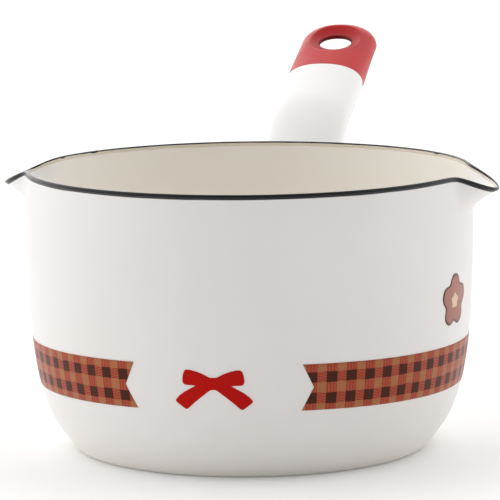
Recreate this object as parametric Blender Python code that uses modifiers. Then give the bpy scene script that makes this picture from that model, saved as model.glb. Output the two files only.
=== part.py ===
"""Enamelled steel pouring pan: drawn body with two spouts, rim bead, hollow two-half handle with a hanging end.

Frame: origin at the centre of the flat base, +Z up, spouts along +X and -X, handle along +Y. Units are metres.
"""

import math

import bmesh
import bpy
from mathutils import Matrix, Vector

MM = 0.001

# Fits shared by every piece
GAP = 0.3 * MM
STEEL = 1.2 * MM

# Pan body, all on its outer surface
PAN_HEIGHT = 96.7 * MM
WALL_RADIUS = 77.2 * MM
LIP_LEAN = 0.5 * MM
LIP_STRAIGHT = 14.4 * MM
BASE_INSET = 16.2 * MM
BASE_CORNER = 4.0 * MM
BELLY_FULL_HEIGHT = 12.0 * MM
BELLY_START_ANGLE = math.radians(56.5)
BELLY_START_PULL = 13.8 * MM
PAN_SEGMENTS = 120

# Pouring spouts, one at each side
SPOUT_ANGLES = (0.0, math.pi)
SPOUT_REACH = 8.9 * MM
SPOUT_DIP = 5.7 * MM
SPOUT_DEPTH = 13.0 * MM
SPOUT_CURVE = 1.35
SPOUT_HALF_ANGLE = math.radians(12.5)
SPOUT_CORNER_SOFTNESS = 0.22
SPOUT_FULLNESS = 0.88

# Rim bead
BEAD_RADIUS = 0.7 * MM

# Handle: its centre line leaves the wall steeply, bends, then runs straight to the tip
HANDLE_ROOT_BELOW_RIM = 19.2 * MM
HANDLE_ROOT_SLOPE = math.radians(42.0)
HANDLE_SLOPE = math.radians(19.3)
HANDLE_LINE_BELOW_RIM = 6.1 * MM
HANDLE_LENGTH = 110.6 * MM
HANDLE_BEND_END = 38.0 * MM
HANDLE_HALF_WIDTH = 14.8 * MM
HANDLE_ROOT_HALF_WIDTH = 13.7 * MM
HANDLE_TAPER_END = 70.0 * MM
HANDLE_HALF_THICKNESS = 8.2 * MM
HANDLE_ROOT_HALF_THICKNESS = 6.4 * MM
HANDLE_TIP_ROUNDING = 14.2 * MM
HANDLE_SECTION_POWER = 2.25
HANDLE_SIDES = 36
END_LENGTH = 46.2 * MM
END_WALL = 1.2 * MM
END_TIP_UNDERSIDE = 0.6 * MM
SPIGOT_LENGTH = 8.0 * MM

# Hanging hole: a thin web with a soft dish above it and a recess below it
HOLE_RADIUS = 6.0 * MM
HOLE_TIP_LAND = 14.2 * MM
WEB_TOP = 5.4 * MM
WEB_THICKNESS = 1.6 * MM
WEB_EDGE = 0.7 * MM
DISH_WIDTH = 9.0 * MM
RECESS_WIDTH = 6.3 * MM
RECESS_SHIFT = 4.0 * MM
CAVITY_CLEARANCE = 2.4 * MM

# Handle bracket, root weld and vent
BRACKET_MARGIN = 1.4 * MM
BRACKET_CORNER = 7.0 * MM
COLLAR_LENGTH = 9.0 * MM
COLLAR_WALL = 1.2 * MM
WELD_RADIUS = 0.8 * MM
VENT_RADIUS = 2.0 * MM
VENT_FROM_WALL = 34.0 * MM

# Printed transfers, laid on the wall
PRINT_THICKNESS = 0.15 * MM
PRINT_GAP = 0.15 * MM
PRINT_STEP = 4.0 * MM
PRINT_CENTRE = math.radians(-87.4)
RIBBON_LOW = 24.8 * MM
RIBBON_HIGH = 40.5 * MM
RIBBON_RIGHT_END = math.radians(22.5)
RIBBON_LEFT_END = math.radians(21.1)
RIBBON_NOTCH = 3.9 * MM
RIBBON_BACK_GAP = math.radians(1.5)
BOW_HEIGHT = 34.2 * MM
FLOWER_ANGLE = math.radians(-14.0)
FLOWER_HEIGHT = 54.5 * MM
FLOWER_RADIUS = 9.2 * MM
FLOWER_PETALS = 5
FLOWER_PETAL_DEPTH = 0.24

# What fits follows from the sizes above
BEAD_BASE = PAN_HEIGHT - 2.0 * BEAD_RADIUS
WALL_TOP = BEAD_BASE - GAP
BASE_EDGE_RADIUS = WALL_RADIUS - BASE_INSET
BELLY_TOP = PAN_HEIGHT - LIP_STRAIGHT
HANDLE_ROOT_HEIGHT = PAN_HEIGHT - HANDLE_ROOT_BELOW_RIM
HANDLE_LINE_HEIGHT = PAN_HEIGHT - HANDLE_LINE_BELOW_RIM
PLATE_INNER = WALL_RADIUS + GAP
PLATE_OUTER = PLATE_INNER + STEEL
ROOT_CUT_RADIUS = PLATE_OUTER + GAP
BRACKET_HEIGHT = HANDLE_ROOT_HEIGHT + (PLATE_OUTER - WALL_RADIUS) * math.tan(HANDLE_ROOT_SLOPE)
WELD_SPACE = GAP + 2.0 * WELD_RADIUS
BRACKET_HALF_WIDTH = HANDLE_ROOT_HALF_WIDTH + WELD_SPACE + BRACKET_MARGIN
BRACKET_HALF_HEIGHT = (HANDLE_ROOT_HALF_THICKNESS + WELD_SPACE) / math.cos(HANDLE_ROOT_SLOPE) + BRACKET_MARGIN
HOLE_PLACE = HANDLE_LENGTH - HOLE_TIP_LAND - HOLE_RADIUS
CAVITY_END = HOLE_PLACE - HOLE_RADIUS - RECESS_WIDTH - CAVITY_CLEARANCE
END_START = HANDLE_LENGTH - END_LENGTH
CAVITY_INSET = STEEL
SPIGOT_INSET = CAVITY_INSET + GAP
END_INSET = SPIGOT_INSET + END_WALL


# ---------------------------------------------------------------- scene helpers

def start_scene():
    for obj in list(bpy.data.objects):
        bpy.data.objects.remove(obj, do_unlink=True)
    parts = bpy.data.collections.new("pouring_pan")
    cutters = bpy.data.collections.new("cutters")
    cutters.hide_render = True
    for collection in (parts, cutters):
        bpy.context.scene.collection.children.link(collection)
    return parts, cutters


def material(name, colour, roughness, metallic=0.0):
    mat = bpy.data.materials.new(name)
    mat.use_nodes = True
    shader = mat.node_tree.nodes["Principled BSDF"]
    shader.inputs["Base Color"].default_value = (*colour, 1.0)
    shader.inputs["Roughness"].default_value = roughness
    shader.inputs["Metallic"].default_value = metallic
    mat.diffuse_color = (*colour, 1.0)
    return mat


def new_object(name, mesh, mat, collection):
    obj = bpy.data.objects.new(name, mesh)
    if mat:
        mesh.materials.clear()
        mesh.materials.append(mat)
    collection.objects.link(obj)
    if collection is CUTTERS:
        obj.display_type = "WIRE"
        obj.hide_render = True
    return obj


def evaluated_mesh(obj):
    """The mesh of an object with its modifiers applied, its loose caps welded."""
    bpy.context.view_layer.update()
    depsgraph = bpy.context.evaluated_depsgraph_get()
    mesh = bpy.data.meshes.new_from_object(obj.evaluated_get(depsgraph))
    mesh.transform(obj.matrix_world)
    shape = bmesh.new()
    shape.from_mesh(mesh)
    bmesh.ops.remove_doubles(shape, verts=shape.verts, dist=0.001 * MM)
    bmesh.ops.recalc_face_normals(shape, faces=shape.faces)
    shape.to_mesh(mesh)
    shape.free()
    return mesh


def take_mesh(obj):
    """Replaces an object by its evaluated mesh, which is returned."""
    mesh = evaluated_mesh(obj)
    bpy.data.objects.remove(obj, do_unlink=True)
    return mesh


def smooth(obj, angle=math.radians(35.0)):
    mesh = obj.data
    mesh.polygons.foreach_set("use_smooth", [True] * len(mesh.polygons))
    mesh.set_sharp_from_angle(angle=angle)


def boolean(obj, cutter, operation):
    modifier = obj.modifiers.new(operation.lower() + "_" + cutter.name, "BOOLEAN")
    modifier.operation = operation
    modifier.solver = "EXACT"
    modifier.object = cutter


# ---------------------------------------------------------------- pan surface

def belly_curve(steps):
    """The belly from the wall down to the base edge, as a cubic Bezier in radius and height."""
    points = (
        Vector((WALL_RADIUS, BELLY_TOP)),
        Vector((WALL_RADIUS, BELLY_FULL_HEIGHT)),
        Vector((
            BASE_EDGE_RADIUS + BELLY_START_PULL * math.cos(BELLY_START_ANGLE),
            BELLY_START_PULL * math.sin(BELLY_START_ANGLE),
        )),
        Vector((BASE_EDGE_RADIUS, 0.0)),
    )
    for step in range(steps + 1):
        t = step / steps
        weights = ((1 - t) ** 3, 3 * t * (1 - t) ** 2, 3 * t * t * (1 - t), t ** 3)
        yield sum((p * w for p, w in zip(points, weights)), Vector((0.0, 0.0)))


def base_corner(steps):
    """The arc that rounds the sharp edge between the belly and the flat base."""
    reach = BASE_CORNER * math.tan(BELLY_START_ANGLE / 2.0)
    centre = Vector((BASE_EDGE_RADIUS - reach, BASE_CORNER))
    for step in range(steps + 1):
        angle = BELLY_START_ANGLE * (1.0 - step / steps)
        yield centre + BASE_CORNER * Vector((math.sin(angle), -math.cos(angle)))


def wall_profile(belly_steps=11, corner_steps=3):
    """Radius and height down the outer side of the pan, from the lip to the axis."""
    lean_steps = 4
    drop = WALL_TOP - BELLY_TOP
    for step in range(lean_steps):
        share = step / lean_steps
        yield Vector((WALL_RADIUS - LIP_LEAN * (1.0 - share) ** 2, WALL_TOP - drop * share))
    corner = list(base_corner(corner_steps))
    for point in belly_curve(belly_steps):
        if point.y > corner[0].y + 0.5 * MM:
            yield point
    yield from corner
    yield Vector((0.5 * BASE_EDGE_RADIUS, 0.0))
    yield Vector((0.0, 0.0))


def wall_radius(height):
    """The pan's outer radius at a height, read along its profile."""
    profile = [p for p in wall_profile() if p.x > 0.6 * BASE_EDGE_RADIUS]
    if height >= profile[0].y:
        return profile[0].x
    for upper, lower in zip(profile, profile[1:]):
        if lower.y <= height <= upper.y:
            share = (height - lower.y) / (upper.y - lower.y)
            return lower.x + (upper.x - lower.x) * share
    return profile[-1].x


def soft_step(x):
    """Zero below zero and x above it, with a rounded corner."""
    return 0.5 * (x + math.hypot(x, SPOUT_CORNER_SOFTNESS))


def spout_share(angle):
    """How far a spout pulls the wall at an angle: 1 at its middle, 0 outside its sides."""
    share = 0.0
    for middle in SPOUT_ANGLES:
        away = abs(math.remainder(angle - middle, math.tau))
        lobe = math.cos(min(0.5 * math.pi * away / SPOUT_HALF_ANGLE, math.pi))
        share += (soft_step(lobe) - soft_step(-1.0)) / (soft_step(1.0) - soft_step(-1.0))
    return share ** SPOUT_FULLNESS


def pull_spout(point):
    """Moves a point of the plain pan to where the pressed spouts put it."""
    rise = max(0.0, point.z - (WALL_TOP - SPOUT_DEPTH)) / SPOUT_DEPTH
    pull = spout_share(math.atan2(point.y, point.x)) * rise ** SPOUT_CURVE
    radius = math.hypot(point.x, point.y)
    if radius == 0.0:
        return point.copy()
    scale = (radius + SPOUT_REACH * pull) / radius
    return Vector((point.x * scale, point.y * scale, point.z - SPOUT_DIP * pull))


def lip_point(angle, height):
    radius = wall_radius(height)
    return pull_spout(Vector((radius * math.cos(angle), radius * math.sin(angle), height)))


def profile_object(name, profile, collection):
    mesh = bpy.data.meshes.new(name)
    edges = [(i, i + 1) for i in range(len(profile) - 1)]
    mesh.from_pydata([(p.x, 0.0, p.y) for p in profile], edges, [])
    return new_object(name, mesh, None, collection)


def turned_mesh(name, profile, segments):
    """A profile in radius and height, run once round the Z axis."""
    obj = profile_object(name, profile, CUTTERS)
    screw = obj.modifiers.new("turn", "SCREW")
    screw.steps = segments
    screw.render_steps = segments
    screw.use_merge_vertices = True
    screw.merge_threshold = 0.00005
    return take_mesh(obj)


def make_pan_body(mat):
    mesh = turned_mesh("pan_body", list(wall_profile()), PAN_SEGMENTS)
    for vertex in mesh.vertices:
        vertex.co = pull_spout(vertex.co)
    face_outward(mesh)
    obj = new_object("pan_body", mesh, mat, PARTS)
    solidify = obj.modifiers.new("sheet", "SOLIDIFY")
    solidify.thickness = STEEL
    solidify.offset = -1.0
    solidify.use_even_offset = True
    smooth(obj)
    return obj


def face_outward(mesh):
    """Turns an open shell's faces away from the axis, so that its sheet grows inward."""
    lip = max(mesh.polygons, key=lambda face: face.center.z)
    if lip.normal.xy.dot(lip.center.xy) < 0.0:
        mesh.flip_normals()


def make_rim_bead(mat):
    """A round bead carried on the lip, following both spouts."""
    curve = bpy.data.curves.new("rim_bead", "CURVE")
    curve.dimensions = "3D"
    curve.bevel_depth = BEAD_RADIUS
    curve.bevel_resolution = 2
    spline = curve.splines.new("POLY")
    spline.points.add(PAN_SEGMENTS - 1)
    spline.use_cyclic_u = True
    for index, point in enumerate(spline.points):
        angle = math.tau * index / PAN_SEGMENTS
        edge = lip_point(angle, WALL_TOP)
        upward = (edge - lip_point(angle, WALL_TOP - 1.0 * MM)).normalized()
        along = (lip_point(angle + 0.01, WALL_TOP) - lip_point(angle - 0.01, WALL_TOP)).normalized()
        inward = upward.cross(along).normalized()
        centre = edge + upward * (GAP + BEAD_RADIUS) + inward * (0.5 * STEEL)
        point.co = (*centre, 1.0)
    obj = bpy.data.objects.new("rim_bead", curve)
    CUTTERS.objects.link(obj)
    bead = new_object("rim_bead", take_mesh(obj), mat, PARTS)
    smooth(bead)
    return bead


# ---------------------------------------------------------------- sheets wrapped on the wall

def wrapped_mesh(name, outline, angle, height, gap, thickness):
    """A flat outline in arc length and height, laid on the wall with a gap under it."""
    curve = bpy.data.curves.new(name, "CURVE")
    curve.dimensions = "2D"
    curve.fill_mode = "BOTH"
    curve.extrude = 0.5 * thickness
    spline = curve.splines.new("POLY")
    spline.points.add(len(outline) - 1)
    spline.use_cyclic_u = True
    for point, (arc, rise) in zip(spline.points, outline):
        point.co = (arc, rise, 0.0, 1.0)
    flat = bpy.data.objects.new(name, curve)
    CUTTERS.objects.link(flat)
    mesh = take_mesh(flat)
    radius = wall_radius(height)
    slice_sheet(mesh, math.tau * radius / PAN_SEGMENTS, angle * radius)
    for vertex in mesh.vertices:
        arc, rise, depth = vertex.co
        level = height + rise
        out = wall_radius(level) + gap + 0.5 * thickness + depth
        turn = angle + arc / radius
        vertex.co = (out * math.cos(turn), out * math.sin(turn), level)
    return mesh


def slice_sheet(mesh, facet, start):
    """Cuts a flat sheet on the pan's facet lines and in rows, so that it can bend."""
    sheet = bmesh.new()
    sheet.from_mesh(mesh)
    for axis, step, shift in ((0, facet, -start), (1, PRINT_STEP, 0.0)):
        values = [vertex.co[axis] for vertex in sheet.verts]
        first = math.ceil((min(values) - shift) / step + 0.05)
        last = math.floor((max(values) - shift) / step - 0.05)
        for index in range(first, last + 1):
            place = Vector((0.0, 0.0, 0.0))
            place[axis] = index * step + shift
            normal = Vector((0.0, 0.0, 0.0))
            normal[axis] = 1.0
            everything = sheet.verts[:] + sheet.edges[:] + sheet.faces[:]
            bmesh.ops.bisect_plane(sheet, geom=everything, plane_co=place, plane_no=normal)
    sheet.to_mesh(mesh)
    sheet.free()


def make_print(name, outline, angle, height, mat):
    mesh = wrapped_mesh(name, outline, angle, height, PRINT_GAP, PRINT_THICKNESS)
    obj = new_object(name, mesh, mat, PARTS)
    smooth(obj)
    return obj


def ribbon_outline(side):
    """A band from its swallowtail end near the front to the back of the pan; side is 1 or -1."""
    half = 0.5 * (RIBBON_HIGH - RIBBON_LOW)
    radius = wall_radius(0.5 * (RIBBON_HIGH + RIBBON_LOW))
    to_back = (0.5 * math.pi - PRINT_CENTRE) * side % math.tau
    near = (RIBBON_RIGHT_END if side > 0 else RIBBON_LEFT_END) * radius
    far = (to_back - RIBBON_BACK_GAP) * radius
    points = [(near, half), (near + RIBBON_NOTCH, 0.0), (near, -half), (far, -half), (far, half)]
    return [(side * arc, rise) for arc, rise in points[::side]]


def bow_outline():
    """The right half of a bow from its knot, then the same points mirrored."""
    half = [
        (0.0, 2.0), (1.1, 2.0), (3.1, 3.1), (5.2, 3.9), (7.2, 4.4), (8.5, 4.5), (9.2, 4.0), (9.6, 2.9),
        (9.9, 1.0), (9.7, 0.0), (9.0, -0.5), (5.5, -0.6), (7.3, -1.6), (9.3, -2.7), (11.1, -4.0),
        (12.4, -5.4), (12.4, -6.1), (9.4, -8.4), (8.7, -8.4), (6.1, -6.1), (3.9, -4.3), (1.1, -2.1),
        (0.0, -1.9),
    ]
    right = [(arc * MM, rise * MM) for arc, rise in half]
    left = [(-arc, rise) for arc, rise in reversed(right[1:-1])]
    return right + left


def flower_outline(points=40):
    for step in range(points):
        turn = math.tau * step / points
        reach = FLOWER_RADIUS * (1.0 - FLOWER_PETAL_DEPTH * (0.5 - 0.5 * math.cos(FLOWER_PETALS * turn)))
        yield reach * math.sin(turn), reach * math.cos(turn)


def rounded_rectangle(half_width, half_height, corner, steps=5):
    for quarter, (x_side, y_side) in enumerate(((1, 1), (-1, 1), (-1, -1), (1, -1))):
        for step in range(steps + 1):
            angle = 0.5 * math.pi * (quarter + step / steps)
            yield (
                x_side * (half_width - corner) + corner * math.cos(angle),
                y_side * (half_height - corner) + corner * math.sin(angle),
            )


# ---------------------------------------------------------------- handle

def line_point(along):
    """A point of the handle's straight line, measured from the wall along the handle."""
    return Vector((
        0.0,
        WALL_RADIUS + along * math.cos(HANDLE_SLOPE),
        HANDLE_LINE_HEIGHT + along * math.sin(HANDLE_SLOPE),
    ))


def handle_frame(along):
    """Centre and direction of the handle; it is curved up to HANDLE_BEND_END and straight after it."""
    straight = Vector((0.0, math.cos(HANDLE_SLOPE), math.sin(HANDLE_SLOPE)))
    if along >= HANDLE_BEND_END:
        return line_point(along), straight
    steep = Vector((0.0, math.cos(HANDLE_ROOT_SLOPE), math.sin(HANDLE_ROOT_SLOPE)))
    root = Vector((0.0, WALL_RADIUS, HANDLE_ROOT_HEIGHT))
    if along <= 0.0:
        return root + steep * along, steep
    bend = line_point(HANDLE_BEND_END)
    pull = HANDLE_BEND_END / 3.0
    a, b, c, d = root, root + steep * pull, bend - straight * pull, bend
    t = along / HANDLE_BEND_END
    centre = a * (1 - t) ** 3 + b * 3 * t * (1 - t) ** 2 + c * 3 * t * t * (1 - t) + d * t ** 3
    slope = (b - a) * (1 - t) ** 2 + (c - b) * 2 * t * (1 - t) + (d - c) * t * t
    return centre, slope.normalized()


def oval(centre, direction, half_width, above, below):
    """A ring of points round the handle's direction, wide along X."""
    upward = Vector((1.0, 0.0, 0.0)).cross(direction)
    for side in range(HANDLE_SIDES):
        angle = math.tau * side / HANDLE_SIDES
        cosine, sine = math.cos(angle), math.sin(angle)
        power = 2.0 / HANDLE_SECTION_POWER
        across = math.copysign(abs(cosine) ** power, cosine) * half_width
        rise = math.copysign(abs(sine) ** power, sine) * (above if sine > 0.0 else below)
        yield centre + Vector((across, 0.0, 0.0)) + upward * rise


def eased(start, stop, share):
    """Goes smoothly from start to stop as share goes from 0 to 1."""
    share = min(1.0, max(0.0, share))
    return start + (stop - start) * share * share * (3.0 - 2.0 * share)


def half_width(along):
    """The handle is narrower at its root and full before its end."""
    return eased(HANDLE_ROOT_HALF_WIDTH, HANDLE_HALF_WIDTH, along / HANDLE_TAPER_END)


def half_thickness(along):
    """The handle is thinner at its root and full from the end of its bend."""
    return eased(HANDLE_ROOT_HALF_THICKNESS, HANDLE_HALF_THICKNESS, along / HANDLE_BEND_END)


def underside_depth(along):
    """How far the underside lies below the centre line: it rises from the colour line to the hole."""
    share = (along - END_START) / (HOLE_PLACE - END_START)
    return eased(half_thickness(along), END_TIP_UNDERSIDE, share)


def tip_scale(along, inset):
    """How much of the full section is left at a place near the rounded tip."""
    room = HANDLE_TIP_ROUNDING - inset
    into = (along - (HANDLE_LENGTH - HANDLE_TIP_ROUNDING)) / room
    return math.sqrt(max(0.0, 1.0 - max(0.0, into) ** 2))


def handle_stations(start, stop, inset):
    """Places of the sections: even along the handle, then closer together round the tip."""
    tip_start = HANDLE_LENGTH - HANDLE_TIP_ROUNDING
    steps = max(2, round((min(stop, tip_start) - start) / (7.0 * MM)))
    stations = [start + (min(stop, tip_start) - start) * step / steps for step in range(steps + 1)]
    if stop > tip_start:
        room = HANDLE_TIP_ROUNDING - inset
        stations += [tip_start + room * math.sin(0.5 * math.pi * turn / 7) for turn in range(1, 7)]
    return stations


def handle_solid(name, start, stop, inset):
    """A closed loft of oval sections along the handle, inset from its outer surface."""
    shape = bmesh.new()
    rings = []
    for along in handle_stations(start, stop, inset):
        centre, direction = handle_frame(along)
        scale = tip_scale(along, inset)
        section = oval(
            centre, direction, (half_width(along) - inset) * scale,
            (half_thickness(along) - inset) * scale, (underside_depth(along) - inset) * scale,
        )
        rings.append([shape.verts.new(point) for point in section])
    for near, far in zip(rings, rings[1:]):
        for side in range(HANDLE_SIDES):
            following = (side + 1) % HANDLE_SIDES
            shape.faces.new((near[side], near[following], far[following], far[side]))
    shape.faces.new(rings[0])
    if stop >= HANDLE_LENGTH:
        tip = shape.verts.new(handle_frame(HANDLE_LENGTH - inset)[0])
        for side in range(HANDLE_SIDES):
            shape.faces.new((rings[-1][side], rings[-1][(side + 1) % HANDLE_SIDES], tip))
    else:
        shape.faces.new(rings[-1])
    bmesh.ops.recalc_face_normals(shape, faces=shape.faces)
    mesh = bpy.data.meshes.new(name)
    shape.to_mesh(mesh)
    shape.free()
    return new_object(name, mesh, None, CUTTERS)


def cylinder(name, radius, low, high, matrix, segments=48):
    shape = bmesh.new()
    middle = Matrix.Translation((0.0, 0.0, 0.5 * (low + high)))
    bmesh.ops.create_cone(
        shape, cap_ends=True, segments=segments, radius1=radius, radius2=radius,
        depth=high - low, matrix=matrix @ middle,
    )
    mesh = bpy.data.meshes.new(name)
    shape.to_mesh(mesh)
    shape.free()
    return new_object(name, mesh, None, CUTTERS)


def block(name, low, high, matrix=Matrix.Identity(4)):
    shape = bmesh.new()
    size = Matrix.Diagonal((*(Vector(high) - Vector(low)), 1.0))
    middle = Matrix.Translation((Vector(high) + Vector(low)) * 0.5)
    bmesh.ops.create_cube(shape, size=1.0, matrix=matrix @ middle @ size)
    mesh = bpy.data.meshes.new(name)
    shape.to_mesh(mesh)
    shape.free()
    return new_object(name, mesh, None, CUTTERS)


def line_matrix(along):
    """A frame on the handle's straight line: its X across, its Y along the handle, its Z out of the top."""
    return Matrix.Translation(line_point(along)) @ Matrix.Rotation(HANDLE_SLOPE, 4, "X")


def seam_sheet(name, upward):
    """A closed body above (or below) the handle's middle surface, half a gap away from it."""
    reach = 3.0 * HANDLE_HALF_WIDTH
    shape = bmesh.new()
    rings = []
    for along in handle_stations(-12.0 * MM, END_START + 2.0 * GAP, 0.0):
        centre, direction = handle_frame(along)
        rise = Vector((1.0, 0.0, 0.0)).cross(direction) * upward
        near = centre + rise * (0.5 * GAP)
        far = centre + rise * (2.0 * HANDLE_HALF_THICKNESS)
        across = Vector((reach, 0.0, 0.0))
        rings.append([shape.verts.new(p) for p in (near - across, near + across, far + across, far - across)])
    for first, second in zip(rings, rings[1:]):
        for side in range(4):
            following = (side + 1) % 4
            shape.faces.new((first[side], first[following], second[following], second[side]))
    shape.faces.new(rings[0])
    shape.faces.new(rings[-1])
    bmesh.ops.recalc_face_normals(shape, faces=shape.faces)
    mesh = bpy.data.meshes.new(name)
    shape.to_mesh(mesh)
    shape.free()
    return new_object(name, mesh, None, CUTTERS)


def finished(name, body, mat):
    """Turns a cut body into a part of its own."""
    obj = new_object(name, evaluated_mesh(body), mat, PARTS)
    smooth(obj)
    return obj


def make_grip_halves(mat):
    """The two pressed halves, from the bracket to the red end; the lower one has the vent hole."""
    pan_side = cylinder("pan_side_cutter", ROOT_CUT_RADIUS, 0.0, 2.0 * PAN_HEIGHT, Matrix.Identity(4), PAN_SEGMENTS)
    vent_place = handle_frame(VENT_FROM_WALL)[0]
    vent = cylinder("vent_cutter", VENT_RADIUS, -20.0 * MM, 0.0, Matrix.Translation(vent_place), 20)
    for name, upward in (("handle_grip_upper", 1.0), ("handle_grip_lower", -1.0)):
        body = handle_solid(name + "_body", -8.0 * MM, END_START - 0.5 * GAP, 0.0)
        cavity = handle_solid(name + "_cavity", -11.0 * MM, END_START + 2.0 * GAP, CAVITY_INSET)
        boolean(body, cavity, "DIFFERENCE")
        boolean(body, seam_sheet(name + "_side", upward), "INTERSECT")
        boolean(body, pan_side, "DIFFERENCE")
        if upward < 0.0:
            boolean(body, vent, "DIFFERENCE")
        finished(name, body, mat)


def dish_profile(steps=10):
    """The space above the web: a soft funnel that runs out into the handle's crown."""
    crown = HANDLE_HALF_THICKNESS + 0.2 * MM
    above = crown + 3.0 * MM
    slope = [
        Vector((HOLE_RADIUS + DISH_WIDTH * step / steps, eased(WEB_TOP, crown, step / steps)))
        for step in range(steps, -1, -1)
    ]
    return [Vector((0.0, above)), Vector((slope[0].x, above))] + slope + [Vector((0.0, WEB_TOP))]


def recess_profile():
    """The space below the web, wider at its mouth."""
    web_low = WEB_TOP - WEB_THICKNESS
    below = -HANDLE_HALF_THICKNESS - 3.0 * MM
    flat = HOLE_RADIUS + 0.75 * RECESS_WIDTH
    mouth = HOLE_RADIUS + RECESS_WIDTH
    return [
        Vector((0.0, web_low)), Vector((flat, web_low)), Vector((mouth, -END_TIP_UNDERSIDE)),
        Vector((mouth + 1.0 * MM, below)), Vector((0.0, below)),
    ]


def bore_profile(steps=4):
    """The hole through the web, with both of its edges rounded over."""
    web_low = WEB_TOP - WEB_THICKNESS
    turns = [0.5 * math.pi * step / steps for step in range(steps + 1)]
    reach = HOLE_RADIUS + WEB_EDGE
    top = [Vector((reach - WEB_EDGE * math.sin(t), WEB_TOP - WEB_EDGE + WEB_EDGE * math.cos(t))) for t in turns]
    low = [Vector((p.x, WEB_TOP + web_low - p.y)) for p in reversed(top)]
    over = WEB_TOP + 1.0 * MM
    under = web_low - 1.0 * MM
    return [Vector((0.0, over)), Vector((reach, over))] + top + low + [Vector((reach, under)), Vector((0.0, under))]


def hole_cutter(name, profile, shift=0.0):
    """A turned cutter on the hanging hole's axis, or moved from it towards the handle's tip."""
    mesh = turned_mesh(name, profile, 48)
    mesh.transform(line_matrix(HOLE_PLACE + shift))
    return new_object(name, mesh, None, CUTTERS)


def make_handle_end(mat):
    """The end piece with the hanging hole: hollow behind the hole, with a spigot that plugs into the halves."""
    body = handle_solid("handle_end_body", END_START + 0.5 * GAP, HANDLE_LENGTH, 0.0)
    spigot = handle_solid("spigot_body", END_START - SPIGOT_LENGTH, END_START + 4.0 * MM, SPIGOT_INSET)
    cavity = handle_solid("handle_end_cavity", END_START - 2.0 * SPIGOT_LENGTH, CAVITY_END, END_INSET)
    boolean(body, spigot, "UNION")
    boolean(body, cavity, "DIFFERENCE")
    boolean(body, hole_cutter("dish_cutter", dish_profile()), "DIFFERENCE")
    boolean(body, hole_cutter("recess_cutter", recess_profile(), RECESS_SHIFT), "DIFFERENCE")
    boolean(body, hole_cutter("bore_cutter", bore_profile()), "DIFFERENCE")
    finished("handle_end", body, mat)


def make_bracket(mat):
    """A saddle plate on the wall with an oval collar that the grip halves slide over."""
    outline = list(rounded_rectangle(BRACKET_HALF_WIDTH, BRACKET_HALF_HEIGHT, BRACKET_CORNER))
    angle = 0.5 * math.pi
    plate_mesh = wrapped_mesh("bracket_plate", outline, angle, BRACKET_HEIGHT, GAP, STEEL)
    plate = new_object("bracket_plate", plate_mesh, None, CUTTERS)
    inset = CAVITY_INSET + GAP
    collar = handle_solid("collar_body", -11.0 * MM, COLLAR_LENGTH, inset)
    bore = handle_solid("collar_bore", -14.0 * MM, COLLAR_LENGTH + 3.0 * MM, inset + COLLAR_WALL)
    inside = cylinder(
        "collar_trim", PLATE_INNER + 0.5 * STEEL, 0.0, 2.0 * PAN_HEIGHT, Matrix.Identity(4), PAN_SEGMENTS,
    )
    boolean(collar, bore, "DIFFERENCE")
    boolean(collar, inside, "DIFFERENCE")
    boolean(plate, collar, "UNION")
    finished("handle_bracket", plate, mat)


def make_root_weld(mat):
    """The bead that joins the handle's root to the bracket, run round the root's outline."""
    curve = bpy.data.curves.new("handle_root_weld", "CURVE")
    curve.dimensions = "3D"
    curve.bevel_depth = WELD_RADIUS
    curve.bevel_resolution = 2
    clear = WELD_RADIUS + GAP
    reach = PLATE_OUTER + clear
    centre, direction = handle_frame(0.0)
    height = HANDLE_ROOT_HALF_THICKNESS + clear
    ring = list(oval(centre, direction, HANDLE_ROOT_HALF_WIDTH + clear, height, height))
    spline = curve.splines.new("POLY")
    spline.points.add(len(ring) - 1)
    spline.use_cyclic_u = True
    for point, start in zip(spline.points, ring):
        travel = (math.sqrt(reach ** 2 - start.x ** 2) - start.y) / direction.y
        point.co = (*(start + direction * travel), 1.0)
    obj = bpy.data.objects.new("handle_root_weld", curve)
    CUTTERS.objects.link(obj)
    weld = new_object("handle_root_weld", take_mesh(obj), mat, PARTS)
    smooth(weld)


# ---------------------------------------------------------------- assembly

PARTS, CUTTERS = start_scene()


def main():
    white_enamel = material("white_enamel", (0.80, 0.78, 0.74), 0.30)
    black_enamel = material("black_enamel", (0.012, 0.012, 0.013), 0.22)
    red_enamel = material("red_enamel", (0.62, 0.05, 0.04), 0.28)
    ribbon_print = material("ribbon_print", (0.48, 0.11, 0.05), 0.35)
    bow_print = material("bow_print", (0.46, 0.010, 0.006), 0.35)
    flower_print = material("flower_print", (0.30, 0.06, 0.03), 0.35)

    make_pan_body(white_enamel)
    make_rim_bead(black_enamel)
    make_bracket(white_enamel)
    make_root_weld(white_enamel)
    make_grip_halves(white_enamel)
    make_handle_end(red_enamel)

    ribbon_height = 0.5 * (RIBBON_LOW + RIBBON_HIGH)
    make_print("ribbon_print_right", ribbon_outline(1), PRINT_CENTRE, ribbon_height, ribbon_print)
    make_print("ribbon_print_left", ribbon_outline(-1), PRINT_CENTRE, ribbon_height, ribbon_print)
    make_print("bow_print", bow_outline(), PRINT_CENTRE, BOW_HEIGHT, bow_print)
    make_print("flower_print", list(flower_outline()), FLOWER_ANGLE, FLOWER_HEIGHT, flower_print)


main()
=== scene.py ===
"""Looks of the enamelled pouring pan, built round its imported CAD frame. Units are metres.

Frame: origin at the centre of the flat base, +Z up, spouts along +X and -X, handle along +Y.
"""
import math

import bmesh
import bpy
from mathutils import Matrix, Vector, noise


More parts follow.
